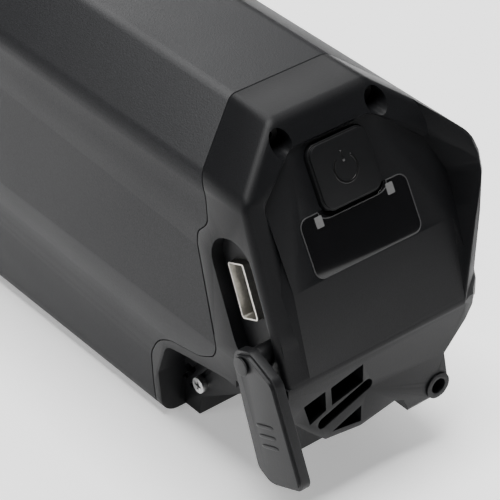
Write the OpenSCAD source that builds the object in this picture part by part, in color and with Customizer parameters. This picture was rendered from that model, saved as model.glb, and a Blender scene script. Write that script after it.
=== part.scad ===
/* [Body] */
// Overall length of the pack
pack_l = 360; // [300:1:460]
// Overall width of the pack
pack_w = 60; // [58:0.5:64]
// Height from the base face to the top flat
pack_h = 95.4; // [94:0.2:98]
// Width of the flat strip along the top
top_w = 28.6; // [26:0.2:31]
// Width of the base face
base_w = 53.4; // [50:0.2:56]
// Height of the crease along the side
crease_z = 38.8; // [37:0.2:40]
// Height at which the top shoulder starts
shoulder_z = 83.7; // [82:0.2:85]
// Corner radius of the extruded section
corner_r = 5; // [3:0.5:6]
// Wall of the extrusion
wall = 2; // [1.6:0.1:2.4]

/* [Front cap] */
// Height of the ridge between the face and the chin
ridge_z = 41; // [40:0.2:42]
// Set-back of the face at shoulder height
brow_y = 16; // [14:0.1:17]
// Set-back of the face at the top flat
crown_y = 25.6; // [24:0.1:29]
// Gap between the cap and the extrusion
seam = 0.4; // [0.3:0.05:0.5]
// Inset of the button panel from the cap's outline
panel_inset = 6.6; // [6.2:0.1:7]
// Lean of the button panel
panel_lean = 29.7; // [29:0.1:31]

/* [Button and window] */
// Width of the power button
button_w = 17.8; // [17:0.1:18.5]
// Height of the power button
button_h = 15.9; // [15:0.1:16.5]
// Height of the button above the panel
button_proud = 1.5; // [1.2:0.1:2]
// Travel of the power button
button_travel = 0.8; // [0.4:0.1:1]
// Width of the charge window
window_w = 32.4; // [30:0.1:33]
// Height of the charge window
window_h = 14.8; // [14:0.1:15.5]

/* [USB port] */
// Lean of the port and of its pocket
port_lean = 23; // [22:0.5:24]
// Width of the pocket
pocket_w = 15.2; // [14.8:0.1:15.6]
// Length of the pocket
pocket_l = 33; // [32:0.5:34]
// Depth of the pocket
pocket_d = 3.4; // [3:0.1:3.8]
// Width of the socket shell
usb_w = 14.2; // [13.8:0.1:14.5]
// Height of the socket shell
usb_h = 6.2; // [5.7:0.1:6.6]
// Thickness of the rubber cover
flap_t = 3.2; // [2.6:0.1:3.6]

/* [Cells] */
// Diameter of one cell
cell_d = 18.4; // [18.2:0.1:18.6]
// Length of one cell
cell_l = 65; // [64.8:0.1:65.4]

/* [Hidden] */
$fn = 48;
front = -pack_l / 2;
half_w = pack_w / 2;
face_lean = atan2(brow_y, shoulder_z - ridge_z);
shoulder_turn = atan2(half_w - top_w / 2, pack_h - shoulder_z);
base_turn = atan2(half_w - base_w / 2, crease_z);
cheek_in = 24.6;
cheek_out = 28.6;
hole_x = 14.1;
hole_z = 91;
screw_r = 2.9;
button_z = 81;
window_z = 68.7;
panel_y0 = -5.7;
edge_r = 1.5;
face_wall = 2.6;
window_deep = 0.9;
pocket_y = 16.4;
pocket_z = 56.6;
usb_up = 2.6;
usb_across = -1.1;
usb_depth = 12;
post_y = 9.2;
post_z = 46.6;
post_r = 1.6;
flap_off = 2.8;
flap_x = 2.2;
board_back = 7;
bay_x = 19.5;
boss_x = 17.4;
boss_y = 0.4;
boss_z = 18.9;
boss_r = 2.1;
cap_depth = 60;
rear_cap_l = 26;
rear_y = pack_l - rear_cap_l;
holder_t = 1.2;
cells_y = 62.4;
layer_pitch = cell_l + holder_t;
lead_x = 20;
lead_z = 83;
lead_r = 1.4;
rail_x = 12;
rail_y = [96, 310];
black = [0.09, 0.09, 0.1];
rubber = [0.14, 0.14, 0.15];
metal = [0.72, 0.72, 0.74];

// Fillets every corner of a polygon: each corner is swapped for an arc tangent to both edges.
function unit(v) = v / norm(v);
function corner_arc(a, p, b, r, n) =
    let (u = unit(a - p), v = unit(b - p), half = acos(u * v) / 2,
         c = p + unit(u + v) * r / sin(half), d0 = p + u * r / tan(half) - c,
         a0 = atan2(d0[1], d0[0]), side = u[0] * v[1] - u[1] * v[0] > 0 ? -1 : 1,
         sweep = side * (180 - 2 * half))
    [for (i = [0:n]) c + r * [cos(a0 + sweep * i / n), sin(a0 + sweep * i / n)]];
function rounded(pts, radii, n = 6) =
    [for (i = [0:len(pts) - 1]) each corner_arc(pts[(i + len(pts) - 1) % len(pts)], pts[i],
        pts[(i + 1) % len(pts)], radii[i], n)];

// The pack's cross-section, looking along +Y, moved inwards by an inset.
function half_section(i) = [
    [base_w / 2 - i * tan((90 - base_turn) / 2), i],
    [half_w - i, crease_z],
    [half_w - i, shoulder_z - i * tan(shoulder_turn / 2)],
    [top_w / 2 - i * tan((90 - shoulder_turn) / 2), pack_h - i]];
function mirrored(h) = concat(h, [for (k = [len(h) - 1:-1:0]) [-h[k][0], h[k][1]]]);
function section(i) = rounded(mirrored(half_section(i)),
    [for (k = [0:7]) (k == 1 || k == 6) ? 2 : max(corner_r - i, 1.5)]);

module prism(inset, y0, y1) {
    translate([0, front + y1, 0]) rotate([90, 0, 0])
        linear_extrude(y1 - y0) polygon(section(inset));
}
// A slab of constant shape in side view, between two stations across the width.
module side_slab(pts, x0, x1) {
    translate([x0, front, 0]) rotate([90, 0, 90]) linear_extrude(x1 - x0) polygon(pts);
}
// A shape in front view, cut or raised between two depths.
module front_slab(pts, y0, y1) {
    translate([0, front + y1, 0]) rotate([90, 0, 0]) linear_extrude(y1 - y0) polygon(pts);
}
function rect(w, h, r, n = 6) =
    rounded([[-w / 2, -h / 2], [w / 2, -h / 2], [w / 2, h / 2], [-w / 2, h / 2]], [r, r, r, r], n);
// Children are drawn flat in XY and stood on the button panel, +Z out of the face.
module on_panel(z) {
    translate([0, front + panel_y0 + (z - ridge_z) * tan(panel_lean), z])
        rotate([90 - panel_lean, 0, 0]) children();
}
// Children are drawn flat in XY, long way along Y, and laid on the left side, +Z out of it.
module on_side(y, z, x = half_w) {
    translate([-x, front + y, z]) rotate([90, 0, -90]) rotate([0, 0, port_lean]) children();
}

// Side view of the cap: face, crown, seam line, bay and chin.
seam_pts = [[40.4, pack_h + 1], [29.4, 81], [28.6, 72.5], [32.4, 68.5], [32.7, 65], [26.2, 38],
    [27.8, 34.6], [33.4, 31.2], [45.4, 28.8], [50.6, 25.6], [54.2, 19.5], [54.8, 10], [54.8, -1]];
seam_r = [0, 10, 4, 3, 6, 4, 4, 10, 12, 10, 8, 5];
seam_line = concat([seam_pts[0]], [for (i = [1:11]) each corner_arc(seam_pts[i - 1], seam_pts[i],
    seam_pts[i + 1], seam_r[i], 3)], [seam_pts[12]]);
face_line = [[crown_y + 1.2, pack_h + 1], [crown_y, pack_h], [brow_y, shoulder_z],
    [0.52, ridge_z + 1.5], [0.3, ridge_z + 0.75], [0.15, ridge_z]];
chin_y = 1.2;
cap_side = concat(seam_line, [[47, -1], [46, 6], [30, 17], [chin_y + 2, 13], [chin_y, 16],
    [0.08, ridge_z - 1.5], [0.08, ridge_z - 0.75]], [for (k = [5:-1:0]) face_line[k]]);
tube_cut = concat([[-20, pack_h + 1]], [for (p = seam_line) p + [seam, 0]], [[-20, -1]]);
cheek_line = [[20, 90], [9.4, 85.6], [5, 82.8], [2.6, 80], [1.2, 75.6], [1.1, 64], [2.3, ridge_z]];
cheek_back = [[25.6, ridge_z], [25.6, pack_h]];
chin = [[-half_w, ridge_z + 0.5], [-half_w, 33], [-23, 25.4], [-17.9, 20.6], [-6.9, 19], [3.6, 21],
        [6.6, 19.8], [9.2, 14.4], [17.4, 14.6], [21.2, 18], [19, 28], [half_w, ridge_z + 0.5]];

module tube() {
    color([0.2, 0.2, 0.21]) difference() {
        prism(0, 20, rear_y);
        prism(wall, 10, pack_l);
        side_slab(tube_cut, -40, 40);
        for (sx = [-1, 1], y = rail_y) translate([sx * rail_x, front + y, -1]) cylinder(r = boss_r, h = 6);
    }
}

// The face's edge is rolled: layers of the section step in as they step forward.
module face_layer(inset, back) {
    intersection() {
        prism(inset, -5, 60);
        side_slab(concat([for (p = face_line) p + [back, 0]],
            [[3, ridge_z - 2], [26.2, ridge_z - 2], [40.4, pack_h + 1]]), -40, 40);
    }
}
module rolled_face() {
    hull() for (a = [0:22.5:90]) face_layer(edge_r * (1 - cos(a)), 1.15 * edge_r * (1 - sin(a)));
}

module cheek() {
    intersection() {
        prism(0, -5, 25.6);
        hull() {
            side_slab(concat([[22, 90]], [for (k = [2:5]) face_line[k]], cheek_back), cheek_in, cheek_in + 0.2);
            side_slab(concat(cheek_line, cheek_back), cheek_out, cheek_out + 0.2);
            side_slab(concat([for (p = cheek_line) p + [1.3, 0]], cheek_back), half_w - 0.2, half_w + 0.2);
        }
    }
}

// The panel's outline by height, and the same outline where the recess opens forward.
function up_slope(pts) = [for (p = pts) [p[0], (p[1] - window_z) / cos(panel_lean)]];
panel_side = half_w - panel_inset;
panel_line = [[-panel_side, 30], [21.5, 30], [27, 64], [27.6, 71.5], [24.2, 79.8], [12.1, 88.8],
    [-12.1, 88.8], [-panel_side, 80.4]];
mouth_line = [[-panel_side - 9, 30], [23, 30], [28.4, 64], [29, 71.5], [25.6, 81], [12.9, 90.6],
    [-13.5, 95], [-panel_side - 9, 82]];
panel_r = [2, 2, 6, 5, 4, 3, 3, 3];
module panel_recess() {
    hull() on_panel(window_z) {
        linear_extrude(0.01) polygon(rounded(up_slope(panel_line), panel_r, 4));
        translate([0, 0, 12]) linear_extrude(0.01) polygon(rounded(up_slope(mouth_line), panel_r, 4));
    }
}
// Below the window the panel runs on a little proud of the face, down to the ridge.
foot_line = [[0.3, ridge_z + 0.9], [panel_y0 + 21 * tan(panel_lean), 62],
    [panel_y0 + 31 * tan(panel_lean), 72], [13.5, 72], [13.5, ridge_z + 0.9]];
module panel_foot() {
    hull() {
        side_slab(foot_line, -panel_side, 27.4);
        side_slab([for (p = foot_line) p + [1.7, 0]], -panel_side - 2.6, 27.4);
    }
}

module chin_body() {
    intersection() {
        union() {
            front_slab(chin, -1, 22);
            translate([-bay_x, front + 8, 0]) cube([2 * bay_x, 47, 40]);
            translate([-half_w, front + 20, 0]) cube([2 * half_w, 35, 42]);
        }
        side_slab(cap_side, -40, 40);
        prism(0, -5, 60);
        // the right front corner is turned back to meet the cheek
        translate([0, front, -1]) linear_extrude(60) polygon([[-40, -5], [24.4, -5], [24.4, 0.1],
            [27.6, 0.7], [half_w + 1, 3], [40, 60], [-40, 60]]);
    }
}

module window_holes() {
    for (w = [[[-17.1, 35.9], [-7.4, 38.2], [-7.1, 32.6], [-16.4, 30.3]],
              [[-25.2, 34.3], [-18.8, 35.8], [-18.2, 29.7], [-23, 27.7]],
              [[-15.8, 21.9], [-7.1, 25.4], [-6.9, 20.4]]])
        front_slab(w, -2, 9);
    hull() for (p = [[-18.8, 26.2], [-5.8, 31]])
        translate([p[0], front + 4, p[1]]) rotate([90, 0, 0]) cylinder(r = 1.7, h = 8, $fn = 24);
}

bay_line = [[52.5, -2], [52.4, 14], [47.5, 25.8], [40, 27.4], [24, 30.4], [16, 30], [20, -2]];
module bay_opening() {
    for (sx = [-1, 1])
        side_slab(rounded(bay_line, [1, 3, 5, 4, 3, 1, 1], 5),
            sx < 0 ? -40 : bay_x, sx < 0 ? -bay_x : 40);
}

// Twin guide grooves, a locating hole and the screw's hole, on both sides of the keel.
screw_y = 45.3;
screw_z = 10.8;
module bay_details() {
    for (sx = [-1, 1]) {
        for (d = [-1.4, 1.4]) translate([sx * bay_x, front + 46.4 + 0.78 * d, 13.9 + 0.62 * d])
            rotate([38.5, 0, 0]) cube([1.4, 1.2, 16], center = true);
        translate([sx * bay_x, front + 50.8, 11.9]) rotate([0, 90, 0]) cylinder(r = 1.6, h = 6, center = true);
        translate([sx * (bay_x - 3), front + screw_y, screw_z]) rotate([0, 90, 0])
            cylinder(r = 1.15, h = 8, center = true);
    }
}

module cap_outer() {
    intersection() {
        rolled_face();
        side_slab(concat([for (p = seam_line) if (p[1] > 35) p], [[26.2, ridge_z - 2], [0, ridge_z - 2]],
            [for (k = [5:-1:0]) face_line[k]]), -40, 40);
        translate([0, front, 0]) linear_extrude(120) polygon([[-40, -5], [24.4, -5], [24.4, 0.1],
            [27.6, 0.7], [half_w + 1, 3], [40, 60], [-40, 60]]);
    }
    cheek();
    panel_foot();
    chin_body();
}

// Room behind the face, one wall thickness back from it.
cavity_side = [[face_wall, ridge_z + 2.5], [face_wall + 7, 62], [22, shoulder_z], [28.8, pack_h - 3],
    [80, pack_h - 3], [80, ridge_z + 2.5]];

module front_cap() {
    color(black) difference() {
        union() {
            difference() {
                union() {
                    cap_outer();
                    // spigot inside the extrusion, closed behind the bay
                    difference() {
                        prism(wall + 0.1, 24, cap_depth);
                        translate([-40, front + 20, -1]) cube([80, 32.5, ridge_z + 1]);
                        translate([-40, front + 57, -1]) cube([80, 10, ridge_z + 1]);
                    }
                }
                intersection() {
                    prism(wall + 2.2, -5, 80);
                    side_slab(cavity_side, -40, 40);
                }
            }
            // blocks behind the pocket and the cover's post
            intersection() {
                prism(1, -5, 60);
                union() {
                    on_side(pocket_y, pocket_z) translate([0, 0, -9]) linear_extrude(8)
                        polygon(rect(pocket_w + 4, pocket_l + 4, 8));
                    on_side(post_y, post_z) translate([0, 0, -12]) linear_extrude(11)
                        polygon(rect(9, 9, 3));
                }
            }
            for (sx = [-1, 1]) translate([sx * hole_x, front + 34, hole_z - 1.6]) rotate([90, 0, 0])
                cylinder(r = 3.9, h = 8);
            translate([boss_x, front + 10, boss_z]) rotate([90, 0, 0]) cylinder(r = 3.5, h = 10 - boss_y);
        }
        panel_recess();
        on_panel(button_z) translate([0, 0, -14])
            linear_extrude(20) polygon(rect(button_w + 0.8, button_h + 0.8, 3.4));
        on_panel(window_z) translate([0, 0, -window_deep])
            linear_extrude(3) polygon(rect(window_w, window_h, 2.4));
        for (sx = [-1, 1]) translate([sx * hole_x, front, hole_z]) rotate([-90, 0, 0]) {
            cylinder(r = screw_r, h = 29);
            cylinder(r = 1.6, h = 42);
        }
        on_panel(window_z) translate([0, -1.4, -6]) linear_extrude(6) polygon(rect(24, 3, 1));
        window_holes();
        bay_opening();
        bay_details();
        translate([boss_x, front + 8, boss_z]) rotate([90, 0, 0]) cylinder(r = boss_r, h = 14);
        on_side(pocket_y, pocket_z) translate([0, 0, -pocket_d]) linear_extrude(20)
            polygon(rect(pocket_w, pocket_l, 7));
        on_side(pocket_y, pocket_z) translate([usb_across, usb_up, -16]) linear_extrude(20)
            polygon(rect(usb_h + 0.3, usb_w + 0.3, 0.9));
        on_side(post_y, post_z) translate([0, 0, -10]) cylinder(r = post_r + 0.02, h = 12);
    }
}

module charge_window() {
    color([0.05, 0.05, 0.055]) difference() {
        on_panel(window_z) translate([0, 0, -window_deep + 0.02])
            linear_extrude(window_deep) polygon(rect(window_w - 0.3, window_h - 0.3, 2.3));
        on_panel(button_z) translate([0, 0, -5])
            linear_extrude(10) polygon(rect(button_w + 2.2, button_h + 2.2, 4));
    }
}

// Light marks at the empty and full ends of the charge scale.
module level_marks() {
    color([0.75, 0.75, 0.75]) for (sx = [-1, 1])
        on_panel(window_z) translate([sx * 10.7, 5.1, 0.02]) linear_extrude(0.12)
            polygon(rect(2.1, 2.7, 0.2, 2));
}

module level_leds() {
    color([0.85, 0.9, 0.85]) for (i = [-2:2])
        on_panel(window_z) translate([i * 4.6, -1.4, -board_back]) linear_extrude(1.4)
            square([3, 1.6], center = true);
}

module display_board() {
    color([0.08, 0.3, 0.14]) on_panel(window_z) translate([0, 5, -board_back - 1.6])
        linear_extrude(1.6) polygon(rect(28, 29, 2));
}

// The cap of the button and the stem that presses the switch.
module power_button() {
    color([0.12, 0.12, 0.125]) on_panel(button_z) {
        translate([0, 0, -3]) linear_extrude(3 + button_proud - 0.6) polygon(rect(button_w, button_h, 3));
        translate([0, 0, button_proud - 0.6]) linear_extrude(0.6)
            polygon(rect(button_w - 0.8, button_h - 0.8, 2.8));
        translate([0, 0, -3.6]) cylinder(r = 1.6, h = 1);
    }
}

module button_switch() {
    color([0.2, 0.2, 0.2]) on_panel(button_z) {
        translate([-3, -3, -board_back]) cube([6, 6, 1.6]);
        translate([0, 0, -board_back + 1.5])
            cylinder(r = 1.6, h = board_back - 1.5 - 3.6 - button_travel - 0.1);
    }
}

module face_screws() {
    color(metal) for (sx = [-1, 1]) translate([sx * hole_x, front + 29, hole_z]) rotate([90, 0, 0])
        difference() {
            union() {
                cylinder(r = 2.6, h = 2.4);
                translate([0, 0, -11]) cylinder(r = 1.5, h = 12);
            }
            translate([0, 0, 1]) cylinder(r = 1.2, h = 3, $fn = 6);
        }
}

module usb_shell() {
    color(metal) on_side(pocket_y, pocket_z) translate([usb_across, usb_up, -usb_depth - 1.6])
        difference() {
            linear_extrude(usb_depth) polygon(rect(usb_h, usb_w, 0.8));
            translate([0, 0, 0.5]) linear_extrude(usb_depth) polygon(rect(usb_h - 0.9, usb_w - 0.9, 0.5));
        }
}

module usb_tongue() {
    color([0.12, 0.12, 0.12]) on_side(pocket_y, pocket_z)
        translate([usb_across + 1, usb_up, -usb_depth - 1.1]) linear_extrude(usb_depth - 2)
            square([1.8, usb_w - 3], center = true);
}

module usb_board() {
    color([0.08, 0.3, 0.14]) on_side(pocket_y, pocket_z)
        translate([-8, usb_up - 9, -usb_depth - 3.4]) cube([14, 18, 1.6]);
}

flap_line = [[-3.8, 3.4], [2.8, 3.4], [9.8, -3.4], [10, -30.8], [-2.2, -30.8], [-6, -27.2], [-5, -10]];
flap_r = [3.3, 3, 4, 2.6, 3, 3, 9];

// Rubber cover, hanging from its post, with the plug on its inner side.
module usb_flap() {
    color(rubber) on_side(post_y, post_z) translate([0, 0, flap_off]) difference() {
        union() {
            linear_extrude(flap_t - 0.8) polygon(rounded(flap_line, flap_r));
            linear_extrude(flap_t) polygon(rounded([for (p = flap_line) [flap_x + (p[0] - flap_x) * 0.9,
                -14 + (p[1] + 14) * 0.95]], flap_r * 0.88));
            translate([flap_x + 0.9, -14.6, -1.9]) linear_extrude(2) polygon(rect(4.6, 12, 1));
        }
        translate([0, 0, -1]) cylinder(r = post_r + 0.06, h = 6);
    }
}

module flap_post() {
    color(rubber) on_side(post_y, post_z) {
        translate([0, 0, -9]) cylinder(r = post_r, h = 9 + flap_off + flap_t + 0.4);
        translate([0, 0, -pocket_d]) cylinder(r = 2.6, h = pocket_d + flap_off - 0.3);
        translate([0, 0, flap_off + flap_t + 0.3]) cylinder(r = 2.4, h = 0.5);
    }
}

module bay_screws() {
    color(metal) for (sx = [-1, 1])
        translate([sx * (bay_x - 5), front + screw_y, screw_z]) rotate([0, sx * 90, 0]) difference() {
            union() {
                cylinder(r = 1.1, h = 6);
                translate([0, 0, 5]) cylinder(r = 2.1, h = 1.7);
            }
            translate([0, 0, 6]) for (a = [0, 90]) rotate([0, 0, a]) cube([2.4, 0.6, 1.6], center = true);
        }
}

cell_xz = concat([for (z = [35.75, 67.85], c = [-1:1]) [c * 18.5, z]],
    [for (z = [51.8, 83.9], c = [-0.5, 0.5]) [c * 18.5, z]]);
module cell_layer(n) {
    y = cells_y + holder_t + n * layer_pitch;
    color([0.2, 0.45, 0.35]) for (c = cell_xz) translate([c[0], front + y + cell_l, c[1]])
        rotate([90, 0, 0]) cylinder(d = cell_d - 0.1, h = cell_l, $fn = 32);
}

module cell_holders() {
    color([0.15, 0.15, 0.16]) for (n = [0:4]) difference() {
        prism(wall + 0.6, cells_y + n * layer_pitch, cells_y + n * layer_pitch + holder_t);
        translate([-40, front, -1]) cube([80, pack_l, 26]);
        for (sx = [-1, 1]) translate([sx * lead_x, front + cells_y + n * layer_pitch - 1, lead_z])
            rotate([-90, 0, 0]) cylinder(r = lead_r + 0.3, h = holder_t + 2);
    }
}

module bus_strips() {
    color(metal) for (x = [-9.25, 9.25], end = [0, 1])
        translate([x - 4, front + (end == 0 ? cells_y - 0.3 : cells_y + 4 * layer_pitch + holder_t), 30])
            cube([8, 0.3, 60]);
}

module bms_board() {
    color([0.08, 0.3, 0.14]) translate([-20, front + 84, 12]) cube([40, 96, 1.6]);
}

module bms_parts() {
    color([0.1, 0.1, 0.1]) for (i = [0:5], sx = [-1, 1])
        translate([sx * 12 - 3, front + 96 + i * 13, 13.6]) cube([6, 8, 3]);
    color([0.3, 0.3, 0.3]) translate([-5, front + 166, 13.6]) cube([10, 8, 7]);
}

module power_leads() {
    color([0.6, 0.1, 0.1]) for (sx = [-1, 1]) translate([sx * lead_x, front + 56, lead_z])
        rotate([-90, 0, 0]) cylinder(r = lead_r, h = rear_y - 56 - 1, $fn = 24);
}

module foam_pad() {
    color([0.25, 0.25, 0.27]) translate([-20, front + 84, 2.1]) cube([40, 96, 9.8]);
}

module rear_cap() {
    color(black) difference() {
        union() {
            prism(0, rear_y + 1, pack_l - 3);
            prism(1.2, pack_l - 4, pack_l - 1.2);
            prism(2.6, pack_l - 4, pack_l);
            difference() {
                prism(wall + 0.1, rear_y - 5, rear_y + 3);
                prism(wall + 2.2, rear_y - 10, rear_y + 4);
            }
        }
        prism(wall + 2.2, rear_y - 8, pack_l - 4);
        translate([-17, front + pack_l - 12, 34]) cube([34, 20, 16]);
        for (sx = [-1, 1], z = [12, 80]) translate([sx * 17, front + pack_l - 8, z]) rotate([-90, 0, 0]) {
            cylinder(r = 1.6, h = 20);
            translate([0, 0, 5]) cylinder(r = screw_r, h = 10);
        }
    }
}

module rear_gasket() {
    color(rubber) difference() {
        prism(0.3, rear_y, rear_y + 1);
        prism(wall, rear_y - 1, rear_y + 2);
    }
}

module rear_screws() {
    color(metal) for (sx = [-1, 1], z = [12, 80]) translate([sx * 17, front + pack_l - 3, z])
        rotate([-90, 0, 0]) difference() {
            union() {
                translate([0, 0, -12]) cylinder(r = 1.5, h = 12.2);
                cylinder(r = 2.6, h = 2);
            }
            translate([0, 0, 0.8]) cylinder(r = 1.2, h = 3, $fn = 6);
        }
}

module discharge_socket() {
    color([0.13, 0.13, 0.14]) difference() {
        translate([-16.7, front + pack_l - 13, 34.3]) cube([33.4, 12, 15.4]);
        translate([-15, front + pack_l - 10, 36.3]) cube([30, 20, 11.4]);
    }
}

module socket_contacts() {
    color([0.8, 0.65, 0.3]) for (i = [-2:2])
        translate([i * 6 - 0.5, front + pack_l - 10, 38.5]) cube([1, 7, 7]);
}

tube();
front_cap();
charge_window();
level_marks();
level_leds();
power_button();
button_switch();
display_board();
face_screws();
usb_shell();
usb_tongue();
usb_board();
usb_flap();
flap_post();
bay_screws();
cell_layer(0);  // cell_layer_1
cell_layer(1);  // cell_layer_2
cell_layer(2);  // cell_layer_3
cell_layer(3);  // cell_layer_4
cell_holders();
bus_strips();
bms_board();
bms_parts();
power_leads();
foam_pad();
rear_cap();
rear_gasket();
rear_screws();
discharge_socket();
socket_contacts();
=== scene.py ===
import bmesh
import bpy
import numpy as np
from math import cos, sin, radians, tan
from mathutils import Matrix, Vector


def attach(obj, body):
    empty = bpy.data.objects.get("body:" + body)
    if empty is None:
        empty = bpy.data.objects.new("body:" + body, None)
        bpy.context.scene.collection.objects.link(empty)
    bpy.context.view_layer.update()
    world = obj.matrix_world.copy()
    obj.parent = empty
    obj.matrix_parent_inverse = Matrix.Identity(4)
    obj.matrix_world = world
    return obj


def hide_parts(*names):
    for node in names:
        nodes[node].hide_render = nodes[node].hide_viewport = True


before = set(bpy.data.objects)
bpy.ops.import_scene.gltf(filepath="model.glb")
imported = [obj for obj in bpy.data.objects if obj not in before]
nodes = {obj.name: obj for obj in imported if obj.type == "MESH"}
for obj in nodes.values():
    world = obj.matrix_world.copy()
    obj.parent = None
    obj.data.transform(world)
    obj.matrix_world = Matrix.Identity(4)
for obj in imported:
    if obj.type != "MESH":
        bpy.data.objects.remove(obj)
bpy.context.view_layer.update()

# Camera, from the front left and above, on a long lens so that the long tube keeps nearly
# parallel edges.
camera_at = Vector((-0.3287, -0.5357, 0.4169))
looks_back = Vector((-0.5097, -0.6303, 0.5857)).normalized()
level_right = Vector((0, 0, 1)).cross(looks_back).normalized()
level_up = looks_back.cross(level_right)
roll = radians(0.34)
right = level_right * cos(roll) - level_up * sin(roll)
up = level_up * cos(roll) + level_right * sin(roll)
camera_data = bpy.data.cameras.new("camera")
camera_data.lens = 189.5
camera_data.sensor_width = 36
camera_data.clip_end = 20
camera = bpy.data.objects.new("camera", camera_data)
camera.matrix_world = Matrix.Translation(camera_at) @ Matrix((right, up, looks_back)).transposed().to_4x4()
bpy.context.collection.objects.link(camera)
bpy.context.scene.camera = camera

# Pale studio floor, one smooth sheet of paper, and a dim even sky round it.
floor_half = 4.0
floor_z = -0.0003
floor_mesh = bpy.data.meshes.new("floor")
floor_corners = [(sx * floor_half, sy * floor_half, floor_z)
                 for sx, sy in ((-1, -1), (1, -1), (1, 1), (-1, 1))]
floor_mesh.from_pydata(floor_corners, [], [(0, 1, 2, 3)])
floor = bpy.data.objects.new("floor", floor_mesh)
bpy.context.collection.objects.link(floor)
paper = bpy.data.materials.new("paper")
paper.use_nodes = True
paper_shader = paper.node_tree.nodes["Principled BSDF"]
paper_shader.inputs["Base Color"].default_value = (0.96, 0.96, 0.96, 1)
paper_shader.inputs["Emission Color"].default_value = (1, 1, 1, 1)
paper_shader.inputs["Emission Strength"].default_value = 0.4
paper_shader.inputs["Roughness"].default_value = 0.9
floor_mesh.materials.append(paper)
world = bpy.data.worlds.new("studio")
bpy.context.scene.world = world
world.use_nodes = True
world.node_tree.nodes["Background"].inputs["Color"].default_value = (1, 1, 1, 1)
world.node_tree.nodes["Background"].inputs["Strength"].default_value = 0.11


def softbox(name, place, aim, width, height, watts):
    """A rectangular area light at place, turned so that it shines towards aim."""
    data = bpy.data.lights.new(name, "AREA")
    data.shape = "RECTANGLE"
    data.size = width
    data.size_y = height
    data.energy = watts
    lamp = bpy.data.objects.new(name, data)
    lamp.matrix_world = (Matrix.Translation(place)
                         @ (Vector(place) - Vector(aim)).to_track_quat("Z", "Y").to_matrix().to_4x4())
    bpy.context.collection.objects.link(lamp)


softbox("overhead", (0, 0, 2.6), (0, 0, 0), 1.4, 1.4, 125)
softbox("behind", (1.1, 1.9, 2.2), (0, -0.1, 0), 1.7, 1.5, 52)
softbox("behind_right", (1.3, 1.6, 1.3), (0, -0.1, 0.05), 1.2, 0.9, 5)
softbox("left", (-1.9, 0.5, 0.8), (0, -0.1, 0.05), 0.9, 0.9, 11)


# Tube: one aluminium extrusion, faceted in section, cut along the cap's outline, blasted and
# powder coated in fine-textured black.
def finish(name, colour, rough, grain, relief, speckle=0.25, metallic=0.0, gloss_level=0.5):
    """A shader whose colour, gloss and relief vary with noise on Object coordinates. grain is the
    size of one bump in millimetres, relief its height, and speckle how far the colour strays."""
    made = bpy.data.materials.new(name)
    made.use_nodes = True
    tree = made.node_tree
    shader = tree.nodes["Principled BSDF"]
    place = tree.nodes.new("ShaderNodeTexCoord").outputs["Object"]
    fine = tree.nodes.new("ShaderNodeTexNoise")
    fine.inputs["Scale"].default_value = 1000 / grain
    fine.inputs["Detail"].default_value = 2.0
    broad = tree.nodes.new("ShaderNodeTexNoise")
    broad.inputs["Scale"].default_value = 38.0
    broad.inputs["Detail"].default_value = 3.0
    dust = tree.nodes.new("ShaderNodeTexVoronoi")
    dust.inputs["Scale"].default_value = 1000 / (grain * 1.7)
    for texture in (fine, broad, dust):
        tree.links.new(place, texture.inputs["Vector"])
    tint = tree.nodes.new("ShaderNodeValToRGB")
    tint.color_ramp.elements[0].position = 0.3
    tint.color_ramp.elements[1].position = 0.7
    tint.color_ramp.elements[0].color = [c * (1 - speckle) for c in colour] + [1]
    tint.color_ramp.elements[1].color = [c * (1 + speckle) for c in colour] + [1]
    tree.links.new(fine.outputs["Fac"], tint.inputs["Fac"])
    tree.links.new(tint.outputs["Color"], shader.inputs["Base Color"])
    gloss = tree.nodes.new("ShaderNodeMapRange")
    gloss.inputs["To Min"].default_value = rough - 0.05
    gloss.inputs["To Max"].default_value = rough + 0.07
    tree.links.new(broad.outputs["Fac"], gloss.inputs["Value"])
    tree.links.new(gloss.outputs["Result"], shader.inputs["Roughness"])
    height = tree.nodes.new("ShaderNodeMath")
    height.operation = "ADD"
    tree.links.new(fine.outputs["Fac"], height.inputs[0])
    tree.links.new(dust.outputs["Distance"], height.inputs[1])
    bump = tree.nodes.new("ShaderNodeBump")
    bump.inputs["Strength"].default_value = 1.0
    bump.inputs["Distance"].default_value = relief / 1000
    tree.links.new(height.outputs["Value"], bump.inputs["Height"])
    tree.links.new(bump.outputs["Normal"], shader.inputs["Normal"])
    shader.inputs["Metallic"].default_value = metallic
    shader.inputs["Specular IOR Level"].default_value = gloss_level
    return made


crease_area = 0.0015


def eased(node, name, made, radius, segments=3, angle=28):
    """A copy of a CAD solid with its doubles merged, flat areas joined and its edges rounded to
    a radius in millimetres, where they turn by more than angle degrees. A crease between two
    faces over crease_area stays crisp. The copy stands for the solid, on the same body."""
    source = nodes[node]
    mesh = source.data.copy()
    mesh.name = name
    work = bmesh.new()
    work.from_mesh(mesh)
    bmesh.ops.remove_doubles(work, verts=work.verts, dist=1e-6)
    bmesh.ops.dissolve_limit(work, angle_limit=radians(0.6), verts=work.verts, edges=work.edges,
                             delimit=set())
    for edge in work.edges:
        areas = [face.calc_area() for face in edge.link_faces]
        if len(areas) == 2 and min(areas) > crease_area:
            edge.smooth = edge.calc_face_angle() < radians(2)
    work.to_mesh(mesh)
    work.free()
    mesh.materials.clear()
    mesh.materials.append(made)
    piece = bpy.data.objects.new(name, mesh)
    bpy.context.collection.objects.link(piece)
    for face in mesh.polygons:
        face.use_smooth = True
    round_off = piece.modifiers.new("eased_edges", "BEVEL")
    round_off.width = radius / 1000
    round_off.segments = segments
    round_off.limit_method = "ANGLE"
    round_off.angle_limit = radians(angle)
    round_off.use_clamp_overlap = True
    round_off.harden_normals = True
    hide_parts(node)
    return piece


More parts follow.
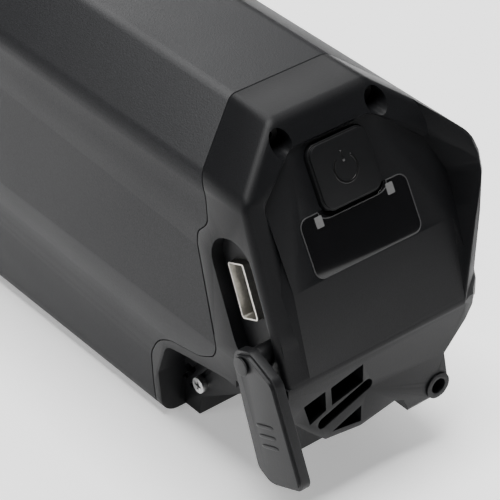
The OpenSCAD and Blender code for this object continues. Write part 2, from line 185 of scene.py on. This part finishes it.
powder_coat = finish("powder_coat", (0.0095, 0.0098, 0.011), 0.46, 0.26, 0.018, speckle=0.55,
                     gloss_level=0.26)
tube = eased("tube", "tube_shell", powder_coat, 0.4, 2, 35)
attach(tube, "pack")

# Front cap: one moulding in glass-filled black nylon, finely spark-textured, with its flange
# against the tube's cut end.
cap_plastic = finish("cap_plastic", (0.0055, 0.0057, 0.0064), 0.43, 0.22, 0.012, speckle=0.4,
                     gloss_level=0.14)
cap = eased("front_cap", "front_moulding", cap_plastic, 0.35, 3, 24)
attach(cap, "pack")

# Charge window: a glossy black film seated in the slanted panel, notched at the top to clear the
# key's surround.
window_film = finish("window_film", (0.002, 0.002, 0.0025), 0.1, 4.0, 0.0004, speckle=0.1)
window = eased("charge_window", "window_sheet", window_film, 0.12, 2, 30)
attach(window, "pack")

# Level marks: two small pale plates at the ends of the charge scale, flush with the film and
# plain.
mark_ink = finish("mark_ink", (0.11, 0.11, 0.11), 0.5, 0.6, 0.01, speckle=0.1)
nodes["level_marks"].data.materials.clear()
nodes["level_marks"].data.materials.append(mark_ink)

# Power button: a rubber-coated key cap that stands proud of the panel and slides into it on the
# body "button".
key_rubber = finish("key_rubber", (0.0055, 0.0057, 0.0062), 0.46, 0.3, 0.008, speckle=0.2,
                    gloss_level=0.16)
button = eased("power_button", "button_key", key_rubber, 0.5, 4, 30)
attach(button, "button")

# USB socket: a drawn, nickel-plated steel shell round a pale plastic tongue, down in the
# cap's left side.
nickel = finish("nickel", (0.55, 0.53, 0.49), 0.3, 0.8, 0.01, speckle=0.12, metallic=1.0)
shell = eased("usb_shell", "socket_shell", nickel, 0.12, 2, 30)
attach(shell, "pack")

# USB tongue: the moulded blade that carries the contacts, in warm grey nylon, with the CAD
# node's own mesh.
tongue_plastic = finish("tongue_plastic", (0.3, 0.3, 0.29), 0.4, 0.5, 0.01)
nodes["usb_tongue"].data.materials.clear()
nodes["usb_tongue"].data.materials.append(tongue_plastic)

# Socket cover: a long rubber tab that turns on its stem and rides on the body "cover", with
# softly rounded edges.
cover_rubber = finish("cover_rubber", (0.007, 0.0072, 0.008), 0.46, 0.3, 0.01, speckle=0.25,
                      gloss_level=0.26)
cover = eased("usb_flap", "port_cover", cover_rubber, 0.5, 4, 30)
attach(cover, "cover")

# Cover grips: three low ribs across the cover's outer face, for a fingertip. They stand where a
# port symbol would be, and turn with the cover.
post_at = np.array([-30.0, -170.8, 46.6])
port_lean = radians(23)
grip_forward, grip_first, grip_pitch = 2.2, -15.0, -2.6
grip_half_long, grip_half_wide, grip_rise = 3.4, 0.55, 0.3
cover_face = 5.98


def on_side(forward, upward, out):
    """Points in millimetres drawn flat on the left side and centred on the cover's stem: forward
    and upward are turned by the port's lean, and out leaves the side."""
    x = post_at[0] - out
    y = post_at[1] - forward * cos(port_lean) + upward * sin(port_lean)
    z = post_at[2] + forward * sin(port_lean) + upward * cos(port_lean)
    return np.stack([x + 0 * y, y, z], axis=-1) / 1000


def pads(name, centres, half_long, half_wide, rise, base, made):
    """Low oblong pads: each is a superellipse of power 4 whose height falls off as one minus the
    sixth power of the distance from its middle, with its rim sunk below the base."""
    rings, turns = 9, 32
    far, turn = np.meshgrid(np.linspace(0.06, 1, rings),
                            np.linspace(0, 2 * np.pi, turns, endpoint=False), indexing="ij")
    wide = np.sign(np.cos(turn)) * np.abs(np.cos(turn)) ** 0.5 * far * half_long
    tall = np.sign(np.sin(turn)) * np.abs(np.sin(turn)) ** 0.5 * far * half_wide
    out = base + rise * (1 - far ** 6) - 0.05 * far
    i, j = np.meshgrid(np.arange(rings - 1), np.arange(turns), indexing="ij")
    j_next = (j + 1) % turns
    quads = np.stack([i * turns + j, i * turns + j_next, (i + 1) * turns + j_next,
                      (i + 1) * turns + j], axis=-1).reshape(-1, 4)
    ends = [list(range(turns)), list(range((rings - 1) * turns, rings * turns))[::-1]]
    points, faces = [], []
    for forward, upward in centres:
        start = len(points) * rings * turns
        points.append(on_side(forward + wide, upward + tall, out).reshape(-1, 3))
        faces += (quads + start).tolist() + [[start + k for k in end] for end in ends]
    mesh = bpy.data.meshes.new(name)
    mesh.from_pydata(np.concatenate(points).tolist(), [], faces)
    work = bmesh.new()
    work.from_mesh(mesh)
    bmesh.ops.recalc_face_normals(work, faces=work.faces)
    work.to_mesh(mesh)
    work.free()
    for face in mesh.polygons:
        face.use_smooth = True
    mesh.materials.append(made)
    piece = bpy.data.objects.new(name, mesh)
    bpy.context.collection.objects.link(piece)
    return piece


grips = pads("cover_grips", [(grip_forward, grip_first + k * grip_pitch) for k in range(3)],
             grip_half_long, grip_half_wide, grip_rise, cover_face, cover_rubber)
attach(grips, "cover")

# Cover stem: the headed rubber post that the cover turns on, plugged into the cap's side
# below the socket.
post = eased("flap_post", "cover_stem", cover_rubber, 0.3, 3, 40)
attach(post, "pack")

# Window edge highlight: a fine dark grey line round the charge window, paler than the black film, a
# painted highlight for light on the film's edge, carried along its notched outline a tenth of a millimetre
# off it.
panel_lean = radians(29.7)
window_height = 68.7
key_height = 81.0
panel_foot_y = -185.7 + (window_height - 41) * tan(panel_lean)


def on_panel(along, across, out):
    """Points in millimetres drawn flat on the button panel, stood up on it: along runs left to
    right, across runs up the slope from the window's centre, and out leaves the face."""
    y = panel_foot_y + across * sin(panel_lean) - out * cos(panel_lean)
    z = window_height + across * cos(panel_lean) + out * sin(panel_lean)
    return np.stack([along + 0 * y, y, z], axis=-1) / 1000


def strip(name, along, across, width, low, high, made, closed=True):
    """A thin bead along a path on the panel. At each point of the path its section is set square
    to the direction: width wide, and standing from low to high as the sine of the way across to
    the power crown, so that its top is nearly flat."""
    crown = 0.3
    run = np.stack([along, across], axis=1)
    if closed:
        step = np.roll(run, -1, axis=0) - np.roll(run, 1, axis=0)
    else:
        step = np.gradient(run, axis=0)
    step /= np.linalg.norm(step, axis=1, keepdims=True)
    side = np.stack([-step[:, 1], step[:, 0]], axis=1)
    turn = np.linspace(0, np.pi, 9)
    offset = np.concatenate([np.cos(turn), [-1, 1]]) * width / 2
    rise = np.concatenate([low + (high - low) * np.sin(turn) ** crown, [low - 0.15, low - 0.15]])
    points = on_panel(run[:, None, 0] + side[:, None, 0] * offset,
                      run[:, None, 1] + side[:, None, 1] * offset, rise + 0 * run[:, None, 0])
    rows, cols = points.shape[:2]
    i, j = np.meshgrid(np.arange(rows if closed else rows - 1), np.arange(cols), indexing="ij")
    corner = [(i % rows) * cols + j % cols, ((i + 1) % rows) * cols + j % cols,
              ((i + 1) % rows) * cols + (j + 1) % cols, (i % rows) * cols + (j + 1) % cols]
    faces = np.stack(corner, axis=-1).reshape(-1, 4).tolist()
    if not closed:
        faces += [list(range(cols))[::-1], list(range((rows - 1) * cols, rows * cols))]
    mesh = bpy.data.meshes.new(name)
    mesh.from_pydata(points.reshape(-1, 3).tolist(), [], faces)
    work = bmesh.new()
    work.from_mesh(mesh)
    bmesh.ops.recalc_face_normals(work, faces=work.faces)
    work.to_mesh(mesh)
    work.free()
    for face in mesh.polygons:
        face.use_smooth = True
    mesh.materials.append(made)
    piece = bpy.data.objects.new(name, mesh)
    bpy.context.collection.objects.link(piece)
    return piece


def rounded_box(half_w, half_h, r, count=7):
    """A rectangle's outline with its corners turned on quarter circles of radius r."""
    turn = np.concatenate([np.linspace(a, a + np.pi / 2, count) for a in np.arange(4) * np.pi / 2])
    sx = np.repeat([1, -1, -1, 1], count) * (half_w - r)
    sy = np.repeat([1, 1, -1, -1], count) * (half_h - r)
    return sx + r * np.cos(turn), sy + r * np.sin(turn)


# Painted highlight: a dark grey a little paler than the film and cap, for light caught on the window's edge.
edge_highlight_paint = finish("edge_highlight_paint", (0.04, 0.04, 0.041), 0.45, 0.5, 0.004, speckle=0.15)
film_half_w, film_half_h, film_r = 16.0, 7.25, 2.4
notch_half_w, notch_floor, notch_turn_w, notch_turn_h = 10.2, 5.0, 3.4, 1.6
highlight_w, highlight_rise = 0.26, 0.1
edge_x, edge_y = rounded_box(film_half_w, film_half_h, film_r)
keep = ~((np.abs(edge_x) < notch_half_w) & (edge_y > notch_floor))
first = int(np.argmax(edge_x < -notch_half_w))
edge_x, edge_y = np.roll(edge_x, -first), np.roll(edge_y, -first)
turn = np.linspace(0, np.pi / 2, 6)
corner_x = notch_half_w - notch_turn_w * (1 - np.cos(turn))
corner_y = notch_floor + notch_turn_h * (1 - np.sin(turn))
edge_x = np.concatenate([[-notch_half_w - 0.1], edge_x, [notch_half_w + 0.1], corner_x, -corner_x[::-1]])
edge_y = np.concatenate([[film_half_h], edge_y, [film_half_h], corner_y, corner_y[::-1]])
edge_highlight = strip("window_edge_highlight", edge_x, edge_y, highlight_w, 0.0, highlight_rise, edge_highlight_paint)
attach(edge_highlight, "pack")

# Power symbol: an open ring and a tick in glossy black paint on the key's face. Both slide with
# the key.
symbol_paint = finish("symbol_paint", (0.002, 0.002, 0.002), 0.3, 0.5, 0.004, speckle=0.1)
key_across = (key_height - window_height) / cos(panel_lean)
key_out = 1.5
symbol_r, symbol_w, half_gap = 3.3, 0.62, 38
symbol_low, symbol_high = key_out - 0.02, key_out + 0.07
turn = np.radians(np.linspace(90 + half_gap, 450 - half_gap, 49))
ring = strip("power_ring", symbol_r * np.cos(turn), key_across + symbol_r * np.sin(turn), symbol_w,
             symbol_low, symbol_high, symbol_paint, closed=False)
tick = strip("power_tick", np.zeros(5), key_across + np.linspace(1.6, 4.3, 5), symbol_w,
             symbol_low, symbol_high, symbol_paint, closed=False)
for piece in (ring, tick):
    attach(piece, "button")

# Screws: bright pan heads in the bay, and blackened cap heads down the counterbores of the face
# and the rear cap.
bright_steel = finish("bright_steel", (0.62, 0.62, 0.62), 0.28, 0.5, 0.008, speckle=0.15, metallic=1.0)
black_steel = finish("black_steel", (0.05, 0.05, 0.05), 0.4, 0.5, 0.008, speckle=0.2, metallic=0.8)
for node, made in (("bay_screws", bright_steel), ("face_screws", black_steel), ("rear_screws", black_steel)):
    nodes[node].data.materials.clear()
    nodes[node].data.materials.append(made)

# Rear cap: a flat moulding in the same nylon as the front cap, with a step round its back face
# and its edges rounded a little more.
rear = eased("rear_cap", "rear_moulding", cap_plastic, 0.5, 3, 24)
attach(rear, "pack")

# Discharge socket: a smooth black insert in the rear cap, open to the back, that holds the
# blades apart.
socket_plastic = finish("socket_plastic", (0.012, 0.012, 0.013), 0.36, 0.4, 0.01, speckle=0.2)
socket = eased("discharge_socket", "rear_socket", socket_plastic, 0.4, 3, 30)
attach(socket, "pack")

# Socket contacts: a row of brass-coloured plated blades standing in the discharge socket, with
# barely broken edges.
plated_brass = finish("plated_brass", (0.78, 0.58, 0.26), 0.25, 0.5, 0.004, speckle=0.1, metallic=1.0)
blades = eased("socket_contacts", "plug_blades", plated_brass, 0.25, 3, 30)
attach(blades, "pack")

# Inner pieces, closed in for good: sleeved cells, fibre holders, metal strips, boards, leads,
# foam and the rear gasket. Each keeps the CAD node's own mesh.
shrink_sleeve = finish("shrink_sleeve", (0.04, 0.26, 0.2), 0.25, 3.0, 0.004, speckle=0.08)
fish_paper = finish("fish_paper", (0.03, 0.03, 0.032), 0.7, 0.5, 0.02)
solder_mask = finish("solder_mask", (0.01, 0.1, 0.03), 0.3, 1.2, 0.01, speckle=0.3)
chip_epoxy = finish("chip_epoxy", (0.012, 0.012, 0.012), 0.45, 0.4, 0.01)
lead_silicone = finish("lead_silicone", (0.35, 0.02, 0.02), 0.5, 0.8, 0.01)
cell_foam = finish("cell_foam", (0.05, 0.05, 0.055), 0.9, 0.9, 0.15, speckle=0.3)
clear_epoxy = finish("clear_epoxy", (0.7, 0.75, 0.7), 0.2, 1.5, 0.002, speckle=0.05)
inner = {"cell_layer_1": shrink_sleeve, "cell_layer_2": shrink_sleeve, "cell_layer_3": shrink_sleeve,
         "cell_layer_4": shrink_sleeve, "cell_holders": fish_paper, "bus_strips": bright_steel,
         "bms_board": solder_mask, "usb_board": solder_mask, "display_board": solder_mask,
         "bms_parts": chip_epoxy, "button_switch": chip_epoxy, "power_leads": lead_silicone,
         "foam_pad": cell_foam, "level_leds": clear_epoxy, "rear_gasket": cover_rubber}
for node, made in inner.items():
    nodes[node].data.materials.clear()
    nodes[node].data.materials.append(made)
